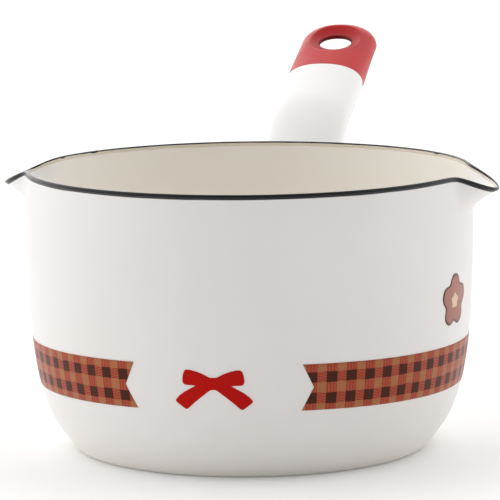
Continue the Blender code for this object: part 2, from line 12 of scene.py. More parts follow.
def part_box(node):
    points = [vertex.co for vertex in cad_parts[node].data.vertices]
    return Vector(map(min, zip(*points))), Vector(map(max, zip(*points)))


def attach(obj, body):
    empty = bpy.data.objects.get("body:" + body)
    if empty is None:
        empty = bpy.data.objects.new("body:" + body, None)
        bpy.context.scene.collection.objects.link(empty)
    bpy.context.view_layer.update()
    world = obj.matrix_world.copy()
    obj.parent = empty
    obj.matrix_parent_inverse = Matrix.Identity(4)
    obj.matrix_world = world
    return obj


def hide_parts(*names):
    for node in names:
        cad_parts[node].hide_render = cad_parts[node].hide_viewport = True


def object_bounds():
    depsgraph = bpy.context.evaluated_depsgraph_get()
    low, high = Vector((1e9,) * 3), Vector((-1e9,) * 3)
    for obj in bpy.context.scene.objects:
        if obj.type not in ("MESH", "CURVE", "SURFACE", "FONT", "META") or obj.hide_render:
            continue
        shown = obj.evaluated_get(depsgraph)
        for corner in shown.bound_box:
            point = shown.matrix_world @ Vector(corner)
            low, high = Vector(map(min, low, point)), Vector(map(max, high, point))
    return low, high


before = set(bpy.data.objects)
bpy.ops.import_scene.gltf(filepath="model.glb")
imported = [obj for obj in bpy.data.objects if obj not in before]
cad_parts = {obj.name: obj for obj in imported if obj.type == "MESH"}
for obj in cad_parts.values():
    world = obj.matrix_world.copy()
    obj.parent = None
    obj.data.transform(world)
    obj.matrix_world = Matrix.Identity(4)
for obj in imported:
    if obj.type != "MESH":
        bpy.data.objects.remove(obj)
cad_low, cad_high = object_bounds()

MM = 0.001

# Sizes read from the frame
WALL_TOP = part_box("pan_body")[1].z
WALL_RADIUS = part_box("pan_body")[1].y
RIBBON_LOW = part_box("ribbon_print_right")[0].z
RIBBON_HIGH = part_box("ribbon_print_right")[1].z

# Sizes of the CAD source, repeated. HANDLE_TAPER_END alone is not the CAD's, which is 70 mm: the
# handle comes to its full width sooner here, as in the photograph, at most 0.8 mm wider on each side.
GAP = 0.3 * MM
STEEL = 1.2 * MM
PAN_HEIGHT = 96.7 * MM
LIP_LEAN = 0.5 * MM
LIP_STRAIGHT = 14.4 * MM
BASE_INSET = 16.2 * MM
BASE_CORNER = 4.0 * MM
BELLY_FULL_HEIGHT = 12.0 * MM
BELLY_START_ANGLE = math.radians(56.5)
BELLY_START_PULL = 13.8 * MM
SPOUT_ANGLES = (0.0, math.pi)
SPOUT_REACH = 8.9 * MM
SPOUT_DIP = 5.7 * MM
SPOUT_DEPTH = 13.0 * MM
SPOUT_CURVE = 1.35
SPOUT_HALF_ANGLE = math.radians(12.5)
SPOUT_CORNER_SOFTNESS = 0.22
SPOUT_FULLNESS = 0.88
BEAD_RADIUS = 0.7 * MM
HANDLE_ROOT_HEIGHT = PAN_HEIGHT - 19.2 * MM
HANDLE_LINE_HEIGHT = PAN_HEIGHT - 6.1 * MM
HANDLE_ROOT_SLOPE = math.radians(42.0)
HANDLE_SLOPE = math.radians(19.3)
HANDLE_LENGTH = 110.6 * MM
HANDLE_BEND_END = 38.0 * MM
HANDLE_HALF_WIDTH = 14.8 * MM
HANDLE_ROOT_HALF_WIDTH = 13.7 * MM
HANDLE_TAPER_END = 25.0 * MM
HANDLE_HALF_THICKNESS = 8.2 * MM
HANDLE_ROOT_HALF_THICKNESS = 6.4 * MM
HANDLE_TIP_ROUNDING = 14.2 * MM
HANDLE_SECTION_POWER = 2.25
END_LENGTH = 46.2 * MM
END_TIP_UNDERSIDE = 0.6 * MM
HOLE_RADIUS = 6.0 * MM
HOLE_TIP_LAND = 14.2 * MM
WEB_TOP = 5.4 * MM
WEB_THICKNESS = 1.6 * MM
WEB_EDGE = 0.7 * MM
DISH_WIDTH = 9.0 * MM
RECESS_WIDTH = 6.3 * MM
RECESS_SHIFT = 4.0 * MM
VENT_RADIUS = 2.0 * MM
VENT_FROM_WALL = 34.0 * MM
PRINT_CENTRE = math.radians(-87.4)
RIBBON_RIGHT_END = math.radians(22.5)
RIBBON_LEFT_END = math.radians(21.1)
RIBBON_NOTCH = 3.9 * MM
RIBBON_BACK_GAP = math.radians(1.5)
BOW_HEIGHT = 34.2 * MM
FLOWER_ANGLE = math.radians(-14.0)
FLOWER_HEIGHT = 54.5 * MM
FLOWER_RADIUS = 9.2 * MM
FLOWER_PETALS = 5
FLOWER_PETAL_DEPTH = 0.24

BASE_EDGE_RADIUS = WALL_RADIUS - BASE_INSET
BELLY_TOP = PAN_HEIGHT - LIP_STRAIGHT
HOLE_PLACE = HANDLE_LENGTH - HOLE_TIP_LAND - HOLE_RADIUS
END_START = HANDLE_LENGTH - END_LENGTH
ROOT_CUT_RADIUS = WALL_RADIUS + 2.0 * GAP + STEEL

# Mesh steps, finer than the CAD's
PAN_SEGMENTS = 288
RIM_STEPS = 2 * PAN_SEGMENTS
RIM_SIDES = 20
LIP_STEPS = 14
BELLY_STEPS = 44
CORNER_STEPS = 8
BASE_SHARES = (0.8, 0.55, 0.3, 0.1)  # rings on the flat base, as shares of its edge's radius
HANDLE_SIDES = 96
HANDLE_STEP = 2.5 * MM
TIP_STEPS = 22
TURNED_SEGMENTS = 96
PAN_CUT_SEGMENTS = 192
VENT_SEGMENTS = 40
DISH_STEPS = 24
BORE_STEPS = 8
RIBBON_COLUMNS, RIBBON_ROWS = 220, 16
BOW_STEP = 1.0 * MM
FLOWER_TURNS, FLOWER_RINGS = 80, 14

# How far cutters and hidden joints reach past the surfaces that they meet
CUT_MARGIN = 3.0 * MM
BORE_MARGIN = 1.0 * MM
GRIP_OVERLAP = 8.0 * MM
CAVITY_OVERLAP = 11.0 * MM
CAVITY_PAST_END = 2.0 * MM
END_OVERLAP = 4.0 * MM
VENT_DEPTH = 20.0 * MM

# Shapes that only the looks have
SEAM_DEPTH = 0.12 * MM
DISH_OVER_CROWN = 0.2 * MM
RECESS_FLAT = 0.75
RECESS_FLARE = 1.0 * MM
END_VOXEL = 0.30 * MM
END_SOFTENING = 12
PRINT_LIFT = 0.03 * MM
MOTIF_LIFT = 1.5 * PRINT_LIFT
PRINT_THICKNESS = 0.10 * MM
RIBBON_PITCH = 7.0 * MM
RIBBON_RIGHT_COLUMN = 0.165  # where the first dark column starts, in pitches from the end
RIBBON_LEFT_COLUMN = 0.39
RIBBON_CROWDING = 1.25  # mesh columns lie closer together towards the end
RIBBON_DROP = 1.2 * MM
RIBBON_DROP_END = math.radians(80.0)
BOW_SCALE = 1.045
BOW_CORNER_CUT = 0.14
PETAL_SHARPNESS = 1.6

# The rim: its bead fills down to the inner wall, and its black ends at a hand-brushed edge
BEAD_SLIMMING = 0.12
BEAD_DROP = 1.3
BEAD_WOBBLE = 0.03
BLACK_REACH = 160.0  # degrees round the bead, from its outer side over its top
BLACK_WOBBLE = 7.0
BLACK_FADE = math.radians(36.0)
BLACK_BELOW_LIP = 0.20 * MM
BLACK_BELOW_WOBBLE = 0.06 * MM
BLACK_BELOW_FADE = 0.5 * MM
# Angle and half width, in degrees, of the marks that the brush left inside the rim; the last one is
# the wider black at the right spout. BRUSH_DEPTH is how many degrees round the bead a mark adds.
BRUSH_MARKS = ((170.9, 1.6), (163.1, 1.1), (149.8, 1.4), (40.1, 1.5), (9.0, 12.0))
BRUSH_DEPTH = 26.0

# Enamel: features to a metre of its tone, gloss, orange peel and longer waves
TONE_SCALE = 22.0
GLOSS_SCALE = 95.0
PEEL_SCALE = 620.0
WAVE_SCALE = 75.0
WAVE_SHARE = 2.2
PEEL_STRENGTH = 0.10
PEEL_DEPTH = 0.25 * MM
GLOSSIEST, DULLEST = 0.86, 1.16  # as shares of a coat's roughness
ENAMEL_ROUGHNESS = 0.35
ENAMEL_IOR = 1.5

# Colours, linear; a pair is the two tones that a coat drifts between
PAN_WHITE = (0.862, 0.842, 0.826), (0.842, 0.820, 0.80)
PAN_CREAM = (0.950, 0.918, 0.862), (0.945, 0.911, 0.852)
HANDLE_WHITE = (0.94, 0.93, 0.915), (0.92, 0.908, 0.89)
RIM_UNDERCOAT = (0.80, 0.735, 0.64), (0.76, 0.69, 0.60)
END_RED = (0.57, 0.007, 0.008), (0.52, 0.005, 0.006)
BOW_RED = (0.52, 0.004, 0.001), (0.47, 0.003, 0.001)
FLOWER_ROSE = (0.40, 0.135, 0.095), (0.34, 0.11, 0.075)
GINGHAM_TAN = (0.43, 0.165, 0.066), (0.37, 0.135, 0.052)
GINGHAM_CLAY = (0.45, 0.085, 0.040), (0.37, 0.062, 0.028)
GINGHAM_BROWN = (0.070, 0.012, 0.002), (0.048, 0.008, 0.001)
UPRIGHT_THREAD = (0.27, 0.030, 0.014)
LEANING_THREAD = (0.26, 0.028, 0.012)
RIM_BLACK = (0.008, 0.008, 0.009)
# Warmer, darker white at the base: partly the thinner coat's own tint, partly painted shade where the pan
# meets the floor
BASE_WARMTH_AND_SHADE = (0.82, 0.77, 0.69)
# Painted light: the whiter cream inside the two spouts
SPOUT_PAINTED_LIGHT = (0.93, 0.915, 0.90)
# Painted shade: a deeper red over the dish round the hanging hole, and near black on the hole's own wall
DISH_PAINTED_SHADE = (0.40, 0.001, 0.002)
HOLE_PAINTED_SHADE = (0.09, 0.001, 0.001)
FLOWER_EDGE = (0.115, 0.032, 0.022)
FLOWER_MIDDLE = (0.74, 0.55, 0.36)
FLOOR_WHITE = (0.965, 0.965, 0.965), (0.955, 0.955, 0.955)

# Where a coat changes: the warmer white above the base with its painted shade, the cream's painted light
# in the spouts, the red's painted shade in the dish
BASE_WARM_AND_SHADE_HEIGHT = 14.0 * MM
BASE_WARM_AND_SHADE_SHARE = 0.55
SPOUT_LIGHT_ASIDE = (67.0 * MM, 76.0 * MM)
SPOUT_LIGHT_HEIGHT = (66.0 * MM, 86.0 * MM)
DISH_SHADE_AWAY = (8.0 * MM, 15.0 * MM)

# Gingham: the dark share of a pitch, the dark rows across the ribbon, and its threads
COLUMN_SHARE = 0.54
DARK_ROWS = ((0.145, 0.375), (0.60, 0.83))
EDGE_WAVER = 0.012
UPRIGHT_THREADS = 6.0
LEANING_THREADS = 17.0
THREAD_LEAN = 2.2
THREAD_CONTRAST = 0.75

# Studio: the light tent's strength behind and beside the pan, in front of it, and from right to left
WORLD_BRIGHT = 1.42
WORLD_DIM = 0.08
WORLD_TILT = 0.21
WORLD_TINT = (1.0, 0.995, 0.985, 1.0)
FLOOR_HALF = 6.0
FLOOR_GLOW = 0.07

# Camera, fitted to the photograph's view
CAMERA_YAW = math.radians(12.25)
CAMERA_DISTANCE = 1.2
CAMERA_HEIGHT = 0.242976
CAMERA_PITCH = math.radians(8.32)
CAMERA_ROLL = math.radians(-0.681)
CAMERA_LENS = 252.33
CAMERA_SENSOR = 36.0
CAMERA_FAR = 30.0


# ---------------------------------------------------------------- node helpers

def add(tree, kind, inputs=None, **settings):
    """A shader node with its settings and its inputs, each a value or another node's socket."""
    made = tree.nodes.new(kind)
    for key, value in settings.items():
        setattr(made, key, value)
    for key, value in (inputs or {}).items():
        if isinstance(value, bpy.types.NodeSocket):
            tree.links.new(value, made.inputs[key])
        else:
            made.inputs[key].default_value = value
    return made


def mix(tree, factor, first, second):
    """A colour between two colours or colour sockets."""
    made = tree.nodes.new("ShaderNodeMix")
    made.data_type = "RGBA"
    for index, value in ((0, factor), (6, first), (7, second)):
        if isinstance(value, bpy.types.NodeSocket):
            tree.links.new(value, made.inputs[index])
        elif index == 0:
            made.inputs[index].default_value = value
        else:
            made.inputs[index].default_value = (*value, 1.0)
    return made.outputs[2]


def maths(tree, operation, *values):
    """A Math node's result, from values or sockets."""
    made = tree.nodes.new("ShaderNodeMath")
    made.operation = operation
    for index, value in enumerate(values):
        if isinstance(value, bpy.types.NodeSocket):
            tree.links.new(value, made.inputs[index])
        else:
            made.inputs[index].default_value = value
    return made.outputs[0]


def spread(tree, value, low, high, start=0.0, stop=1.0):
    """Maps a value from low..high to start..stop, clamped."""
    made = add(tree, "ShaderNodeMapRange", {
        "Value": value, "From Min": low, "From Max": high, "To Min": start, "To Max": stop,
    })
    return made.outputs["Result"]


def place(tree):
    """Where a point lies on its object, in metres."""
    return add(tree, "ShaderNodeTexCoord").outputs["Object"]


def cloud(tree, scale, detail=3.0):
    """Noise in metres: scale is how many features lie in one metre."""
    made = add(tree, "ShaderNodeTexNoise", {
        "Vector": place(tree), "Scale": scale, "Detail": detail, "Roughness": 0.5,
    })
    return made.outputs["Fac"]


def attribute(tree, name):
    """A mesh attribute's value."""
    return add(tree, "ShaderNodeAttribute", attribute_name=name).outputs["Fac"]


def start_material(name):
    """A new material, its node tree and its shader."""
    mat = bpy.data.materials.new(name)
    mat.use_nodes = True
    return mat, mat.node_tree, mat.node_tree.nodes["Principled BSDF"]


def enamel(name, tones, roughness=ENAMEL_ROUGHNESS, gloss=0.5, paint=None):
    """Fired enamel: slow tone changes, an uneven gloss and a faint orange peel."""
    mat, tree, shader = start_material(name)
    colour = mix(tree, spread(tree, cloud(tree, TONE_SCALE), 0.36, 0.64), *tones)
    if paint:
        colour = paint(tree, colour)
    tree.links.new(colour, shader.inputs["Base Color"])
    shine = cloud(tree, GLOSS_SCALE, 4.0)
    gloss_map = spread(tree, shine, 0.3, 0.7, roughness * GLOSSIEST, roughness * DULLEST)
    tree.links.new(gloss_map, shader.inputs["Roughness"])
    fine = cloud(tree, PEEL_SCALE, 2.0)
    peel = maths(tree, "ADD", fine, maths(tree, "MULTIPLY", cloud(tree, WAVE_SCALE, 2.0), WAVE_SHARE))
    bump = add(tree, "ShaderNodeBump", {"Height": peel, "Strength": PEEL_STRENGTH, "Distance": PEEL_DEPTH})
    tree.links.new(bump.outputs[0], shader.inputs["Normal"])
    shader.inputs["IOR"].default_value = ENAMEL_IOR
    shader.inputs["Specular IOR Level"].default_value = gloss
    return mat


# ---------------------------------------------------------------- mesh helpers

def new_object(name, mesh, *materials):
    """An object in the scene with its materials."""
    obj = bpy.data.objects.new(name, mesh)
    mesh.materials.clear()
    for mat in materials:
        mesh.materials.append(mat)
    bpy.context.scene.collection.objects.link(obj)
    return obj


def evaluated(obj):
    """Replaces an object by the mesh that its modifiers make."""
    bpy.context.view_layer.update()
    depsgraph = bpy.context.evaluated_depsgraph_get()
    mesh = bpy.data.meshes.new_from_object(obj.evaluated_get(depsgraph))
    bpy.data.objects.remove(obj, do_unlink=True)
    return mesh


def smooth(mesh, angle=math.radians(40.0)):
    """Smooth shading, but for edges sharper than an angle."""
    mesh.polygons.foreach_set("use_smooth", [True] * len(mesh.polygons))
    mesh.set_sharp_from_angle(angle=angle)


def finish_piece(obj, slot, *nodes):
    """A piece that rides on the pan and stands for CAD nodes, which it hides; slot is not used."""
    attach(obj, "root")
    if nodes:
        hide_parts(*nodes)
    return obj


def ringed_mesh(name, rings, closed=False, start=None, stop=None):
    """A skin over rings of points; start and stop are tip points, or True for a flat end."""
    shape = bmesh.new()
    rows = [[shape.verts.new(point) for point in ring] for ring in rings]
    count = len(rows[0])
    pairs = list(zip(rows, rows[1:])) + ([(rows[-1], rows[0])] if closed else [])
    for near, far in pairs:
        for side in range(count):
            after = (side + 1) % count
            shape.faces.new((near[side], near[after], far[after], far[side]))
    for tip, row in ((start, rows[0]), (stop, rows[-1])):
        if tip is True:
            shape.faces.new(row)
        elif tip is not None:
            point = shape.verts.new(tip)
            for side in range(count):
                shape.faces.new((row[side], row[(side + 1) % count], point))
    bmesh.ops.recalc_face_normals(shape, faces=shape.faces)
    mesh = bpy.data.meshes.new(name)
    shape.to_mesh(mesh)
    shape.free()
    return mesh


def cut_mesh(body, cutters):
    """The mesh of a body once its cutters are taken out of it; all of them are removed."""
    for cutter in cutters:
        taken = body.modifiers.new(cutter.name, "BOOLEAN")
        taken.operation = "DIFFERENCE"
        taken.solver = "EXACT"
        taken.object = cutter
    mesh = evaluated(body)
    for cutter in cutters:
        bpy.data.objects.remove(cutter, do_unlink=True)
    return mesh


# ---------------------------------------------------------------- pan surface, as in the CAD source

def belly_curve(steps):
    """Radius and height down the belly, a Bezier curve from the straight wall to the base."""
    points = (
        Vector((WALL_RADIUS, BELLY_TOP)),
        Vector((WALL_RADIUS, BELLY_FULL_HEIGHT)),
        Vector((
            BASE_EDGE_RADIUS + BELLY_START_PULL * math.cos(BELLY_START_ANGLE),
            BELLY_START_PULL * math.sin(BELLY_START_ANGLE),
        )),
        Vector((BASE_EDGE_RADIUS, 0.0)),
    )
    for step in range(steps + 1):
        t = step / steps
        weights = ((1 - t) ** 3, 3 * t * (1 - t) ** 2, 3 * t * t * (1 - t), t ** 3)
        yield sum((p * w for p, w in zip(points, weights)), Vector((0.0, 0.0)))


def base_corner(steps):
    """Radius and height round the small corner between the belly and the flat base."""
    reach = BASE_CORNER * math.tan(BELLY_START_ANGLE / 2.0)
    centre = Vector((BASE_EDGE_RADIUS - reach, BASE_CORNER))
    for step in range(steps + 1):
        angle = BELLY_START_ANGLE * (1.0 - step / steps)
        yield centre + BASE_CORNER * Vector((math.sin(angle), -math.cos(angle)))


def wall_profile(top):
    """Radius and height down the outer side, from the top to near the axis."""
    for step in range(LIP_STEPS):
        height = top + (BELLY_TOP - top) * step / LIP_STEPS
        share = min(1.0, max(0.0, (WALL_TOP - height) / (WALL_TOP - BELLY_TOP)))
        yield Vector((WALL_RADIUS - LIP_LEAN * (1.0 - share) ** 2, height))
    corner = list(base_corner(CORNER_STEPS))
    for point in belly_curve(BELLY_STEPS):
        if point.y > corner[0].y + 0.3 * MM:
            yield point
    yield from corner
    for share in BASE_SHARES:
        yield Vector((share * BASE_EDGE_RADIUS, 0.0))


PROFILE = [p for p in wall_profile(WALL_TOP) if p.x > 0.85 * BASE_EDGE_RADIUS]


def wall_radius(height):
    """The outer radius of the wall at a height, away from the spouts."""
    if height >= PROFILE[0].y:
        return PROFILE[0].x
    for upper, lower in zip(PROFILE, PROFILE[1:]):
        if lower.y <= height <= upper.y:
            share = (height - lower.y) / (upper.y - lower.y)
            return lower.x + (upper.x - lower.x) * share
    return PROFILE[-1].x


def soft_step(x):
    """Zero below zero and x above it, with a rounded corner between."""
    return 0.5 * (x + math.hypot(x, SPOUT_CORNER_SOFTNESS))


def spout_share(angle):
    """How much of a spout's pull a direction gets, from 0 to 1."""
    share = 0.0
    for middle in SPOUT_ANGLES:
        away = abs(math.remainder(angle - middle, math.tau))
        lobe = math.cos(min(0.5 * math.pi * away / SPOUT_HALF_ANGLE, math.pi))
        share += (soft_step(lobe) - soft_step(-1.0)) / (soft_step(1.0) - soft_step(-1.0))
    return max(0.0, share) ** SPOUT_FULLNESS


def pull_spout(point):
    """Moves a point of the round wall out and down where a spout is pressed."""
    rise = max(0.0, point.z - (WALL_TOP - SPOUT_DEPTH)) / SPOUT_DEPTH
    pull = spout_share(math.atan2(point.y, point.x)) * rise ** SPOUT_CURVE
    radius = math.hypot(point.x, point.y)
    scale = (radius + SPOUT_REACH * pull) / radius
    return Vector((point.x * scale, point.y * scale, point.z - SPOUT_DIP * pull))


def lip_point(angle, height):
    """The outer wall at a direction and a height, spouts included."""
    radius = wall_radius(height)
    return pull_spout(Vector((radius * math.cos(angle), radius * math.sin(angle), height)))


def wobble(angle, pace, seed):
    """Smooth noise round the rim, from about -1 to 1, the same at 0 and at a full turn."""
    return noise.noise(Vector((math.cos(angle) * pace, math.sin(angle) * pace, seed)))


# ---------------------------------------------------------------- pan and rim

def rim_paint(tree, colour):
    """The black of the rim runs a little onto the wall, to a hand-brushed edge."""
    fired = spread(tree, attribute(tree, "rim_black"), 0.42, 0.58)
    return mix(tree, fired, colour, RIM_BLACK)


def outer_paint(tree, colour):
    """The white is warmer and darker close to the base: partly the thinner coat's own tint, partly painted
    shade where the pan meets the floor.
    """
    height = add(tree, "ShaderNodeSeparateXYZ", {"Vector": place(tree)}).outputs["Z"]
    # Painted shade, with the coat's warmer tint, fading out up the lowest part of the wall
    low = spread(tree, height, 0.0, BASE_WARM_AND_SHADE_HEIGHT, BASE_WARM_AND_SHADE_SHARE, 0.0)
    return rim_paint(tree, mix(tree, low, colour, BASE_WARMTH_AND_SHADE))


def inner_paint(tree, colour):
    """Painted light: the cream is painted whiter in the two spouts, where light falls on it."""
    spot = add(tree, "ShaderNodeSeparateXYZ", {"Vector": place(tree)})
    # Painted light, strongest high up inside each spout
    sideways = spread(tree, maths(tree, "ABSOLUTE", spot.outputs["X"]), *SPOUT_LIGHT_ASIDE)
    high = spread(tree, spot.outputs["Z"], *SPOUT_LIGHT_HEIGHT)
    return mix(tree, maths(tree, "MULTIPLY", sideways, high), colour, SPOUT_PAINTED_LIGHT)


def make_pan():
    """The drawn pan: one shell, white outside and cream inside, with the rim's black at its lip."""
    top = WALL_TOP + GAP + 0.5 * BEAD_RADIUS
    profile = list(wall_profile(top))
    rings, blacks = [], []
    for point in profile:
        ring = []
        for step in range(PAN_SEGMENTS):
            angle = math.tau * step / PAN_SEGMENTS
            spot = Vector((point.x * math.cos(angle), point.x * math.sin(angle), point.y))
            ring.append(pull_spout(spot))
            edge = BLACK_BELOW_LIP + BLACK_BELOW_WOBBLE * wobble(angle, 5.0, 3.0)
            blacks.append(0.5 + (edge - (WALL_TOP - point.y)) / BLACK_BELOW_FADE)
        rings.append(ring)
    mesh = ringed_mesh("pan_shell", rings, stop=Vector((0.0, 0.0, 0.0)))
    black = mesh.attributes.new("rim_black", "FLOAT", "POINT")
    black.data.foreach_set("value", [min(1.0, max(0.0, b)) for b in blacks] + [0.0])
    lip = max(mesh.polygons, key=lambda face: face.center.z)
    if lip.normal.xy.dot(lip.center.xy) < 0.0:
        mesh.flip_normals()
    white = enamel("pan_white", PAN_WHITE, paint=outer_paint)
    cream = enamel("pan_cream", PAN_CREAM, roughness=0.36, paint=inner_paint)
    obj = new_object("pan_shell", mesh, white, cream)
    smooth(mesh)
    sheet = obj.modifiers.new("sheet", "SOLIDIFY")
    sheet.thickness = STEEL
    sheet.offset = -1.0
    sheet.use_even_offset = True
    sheet.material_offset = 1
    sheet.material_offset_rim = 0
    return finish_piece(obj, "white_enamel", "pan_body")


def make_rim():
    """The rolled lip: black enamel outside and on top, brushed by hand to an uneven inner edge."""
    rings, blacks = [], []
    for step in range(RIM_STEPS):
        angle = math.tau * step / RIM_STEPS
        edge = lip_point(angle, WALL_TOP)
        upward = (edge - lip_point(angle, WALL_TOP - 1.0 * MM)).normalized()
        along = (lip_point(angle + 0.01, WALL_TOP) - lip_point(angle - 0.01, WALL_TOP)).normalized()
        inward = upward.cross(along).normalized()
        centre = edge + upward * (GAP + BEAD_RADIUS) + inward * (0.5 * STEEL)
        radius = BEAD_RADIUS * (1.0 - BEAD_WOBBLE + BEAD_WOBBLE * wobble(angle, 14.0, 7.0))
        reach = math.radians(BLACK_REACH + BLACK_WOBBLE * wobble(angle, 12.0, 5.0))
        for mark, width in BRUSH_MARKS:
            away = math.remainder(angle - math.radians(mark), math.tau) / math.radians(width)
            reach += math.radians(BRUSH_DEPTH) * max(0.0, 1.0 - away * away)
        ring = []
        for side in range(RIM_SIDES):
            turn = math.tau * side / RIM_SIDES
            outer, rise = radius * math.cos(turn), radius * math.sin(turn)
            if math.pi < turn <= 1.5 * math.pi:
                share = (turn - math.pi) / (0.5 * math.pi)
                outer, rise = -radius * (1.0 - BEAD_SLIMMING * share), -BEAD_DROP * radius * share
            ring.append(centre - inward * outer + upward * rise)
            black = 0.5 - (turn - reach) / BLACK_FADE
            blacks.append(black if turn <= 1.5 * math.pi else 1.0)
        rings.append(ring)
    mesh = ringed_mesh("rim_band", rings, closed=True)
    black = mesh.attributes.new("rim_black", "FLOAT", "POINT")
    black.data.foreach_set("value", [min(1.0, max(0.0, b)) for b in blacks])
    smooth(mesh, math.radians(80.0))
    mat = enamel("rim_black", RIM_UNDERCOAT, roughness=0.20, gloss=0.25, paint=rim_paint)
    return finish_piece(new_object("rim_band", mesh, mat), "black_enamel", "rim_bead")


# ---------------------------------------------------------------- handle, as in the CAD source

def line_point(along):
    """A point on the straight line that the outer part of the handle follows."""
    return Vector((
        0.0,
        WALL_RADIUS + along * math.cos(HANDLE_SLOPE),
        HANDLE_LINE_HEIGHT + along * math.sin(HANDLE_SLOPE),
    ))


def handle_frame(along):
    """Centre and direction of the handle, which leaves the wall steeply and bends to its line."""
    straight = Vector((0.0, math.cos(HANDLE_SLOPE), math.sin(HANDLE_SLOPE)))
    if along >= HANDLE_BEND_END:
        return line_point(along), straight
    steep = Vector((0.0, math.cos(HANDLE_ROOT_SLOPE), math.sin(HANDLE_ROOT_SLOPE)))
    root = Vector((0.0, WALL_RADIUS, HANDLE_ROOT_HEIGHT))
    if along <= 0.0:
        return root + steep * along, steep
    bend = line_point(HANDLE_BEND_END)
    pull = HANDLE_BEND_END / 3.0
    a, b, c, d = root, root + steep * pull, bend - straight * pull, bend
    t = along / HANDLE_BEND_END
    centre = a * (1 - t) ** 3 + b * 3 * t * (1 - t) ** 2 + c * 3 * t * t * (1 - t) + d * t ** 3
    slope = (b - a) * (1 - t) ** 2 + (c - b) * 2 * t * (1 - t) + (d - c) * t * t
    return centre, slope.normalized()


def eased(start, stop, share):
    """From start to stop with no corner at either."""
    share = min(1.0, max(0.0, share))
    return start + (stop - start) * share * share * (3.0 - 2.0 * share)


def half_width(along):
    return eased(HANDLE_ROOT_HALF_WIDTH, HANDLE_HALF_WIDTH, along / HANDLE_TAPER_END)


def half_thickness(along):
    return eased(HANDLE_ROOT_HALF_THICKNESS, HANDLE_HALF_THICKNESS, along / HANDLE_BEND_END)


def underside_depth(along):
    """The lower half is as deep as the upper one, and thins out towards the hole."""
    share = (along - END_START) / (HOLE_PLACE - END_START)
    return eased(half_thickness(along), END_TIP_UNDERSIDE, share)


def handle_ring(along, inset, groove=0.0):
    """One oval section of the handle; groove is the depth of the seam at its two sides."""
    centre, direction = handle_frame(along)
    upward = Vector((1.0, 0.0, 0.0)).cross(direction)
    room = HANDLE_TIP_ROUNDING - inset
    into = max(0.0, along - (HANDLE_LENGTH - HANDLE_TIP_ROUNDING)) / room
    scale = math.sqrt(max(0.0, 1.0 - into ** 2))
    wide = (half_width(along) - inset) * scale
    above = (half_thickness(along) - inset) * scale
    below = (underside_depth(along) - inset) * scale
    power = 2.0 / HANDLE_SECTION_POWER
    for side in range(HANDLE_SIDES):
        angle = math.tau * side / HANDLE_SIDES
        cosine, sine = math.cos(angle), math.sin(angle)
        reach = wide - (groove if side % (HANDLE_SIDES // 2) == 0 else 0.0)
        across = math.copysign(abs(cosine) ** power, cosine) * reach
        rise = math.copysign(abs(sine) ** power, sine) * (above if sine > 0.0 else below)
        yield centre + Vector((across, 0.0, 0.0)) + upward * rise


def handle_stations(start, stop, inset, step):
    """Places along the handle for its sections, closer together round the tip."""
    tip_start = HANDLE_LENGTH - HANDLE_TIP_ROUNDING
    last = min(stop, tip_start)
    count = max(2, round((last - start) / step))
    stations = [start + (last - start) * index / count for index in range(count + 1)]
    if stop > tip_start:
        room = HANDLE_TIP_ROUNDING - inset
        turns = [0.5 * math.pi * turn / TIP_STEPS for turn in range(1, TIP_STEPS)]
        stations += [tip_start + room * math.sin(turn) for turn in turns]
    return stations


def handle_loft(name, start, stop, inset, groove=0.0):
    """A solid stretch of the handle, inset all round."""
    stations = handle_stations(start, stop, inset, HANDLE_STEP)
    rings = [list(handle_ring(along, inset, groove)) for along in stations]
    tip = handle_frame(HANDLE_LENGTH - inset)[0] if stop >= HANDLE_LENGTH else True
    return new_object(name, ringed_mesh(name, rings, start=True, stop=tip))


def turned(name, profile, matrix, segments=TURNED_SEGMENTS):
    """A closed body turned round its own Z; its profile starts and ends on the axis."""
    rings = [
        [Vector((p.x * math.cos(t), p.x * math.sin(t), p.y)) for t in
         (math.tau * step / segments for step in range(segments))]
        for p in profile[1:-1]
    ]
    ends = [Vector((0.0, 0.0, p.y)) for p in (profile[0], profile[-1])]
    mesh = ringed_mesh(name, rings, start=ends[0], stop=ends[1])
    mesh.transform(matrix)
    return new_object(name, mesh)


def cylinder(name, radius, low, high, matrix, segments):
    points = [Vector((0.0, low)), Vector((radius, low)), Vector((radius, high)), Vector((0.0, high))]
    return turned(name, points, matrix, segments)


def hole_matrix(shift=0.0):
    """Puts a cutter's axis through the hanging hole, or shifted from it towards the tip."""
    return Matrix.Translation(line_point(HOLE_PLACE + shift)) @ Matrix.Rotation(HANDLE_SLOPE, 4, "X")


def dish_profile():
    """The dish that leads down to the hole from the handle's crown."""
    crown = HANDLE_HALF_THICKNESS + DISH_OVER_CROWN
    above = crown + CUT_MARGIN
    shares = [step / DISH_STEPS for step in range(DISH_STEPS, -1, -1)]
    slope = [Vector((HOLE_RADIUS + DISH_WIDTH * share, eased(WEB_TOP, crown, share))) for share in shares]
    return [Vector((0.0, above)), Vector((slope[0].x, above))] + slope + [Vector((0.0, WEB_TOP))]


def recess_profile():
    """The hollow under the web round the hole."""
    web_low = WEB_TOP - WEB_THICKNESS
    below = -HANDLE_HALF_THICKNESS - CUT_MARGIN
    flat = HOLE_RADIUS + RECESS_FLAT * RECESS_WIDTH
    mouth = HOLE_RADIUS + RECESS_WIDTH
    return [
        Vector((0.0, web_low)), Vector((flat, web_low)), Vector((mouth, -END_TIP_UNDERSIDE)),
        Vector((mouth + RECESS_FLARE, below)), Vector((0.0, below)),
    ]


def bore_profile():
    """The hole through the web, with both of its edges rounded."""
    web_low = WEB_TOP - WEB_THICKNESS
    turns = [0.5 * math.pi * step / BORE_STEPS for step in range(BORE_STEPS + 1)]
    reach = HOLE_RADIUS + WEB_EDGE
    top = [
        Vector((reach - WEB_EDGE * math.sin(t), WEB_TOP - WEB_EDGE + WEB_EDGE * math.cos(t)))
        for t in turns
    ]
    low = [Vector((p.x, WEB_TOP + web_low - p.y)) for p in reversed(top)]
    over = WEB_TOP + BORE_MARGIN
    under = web_low - BORE_MARGIN
    opening = [Vector((0.0, over)), Vector((reach, over))]
    return opening + top + low + [Vector((reach, under)), Vector((0.0, under))]


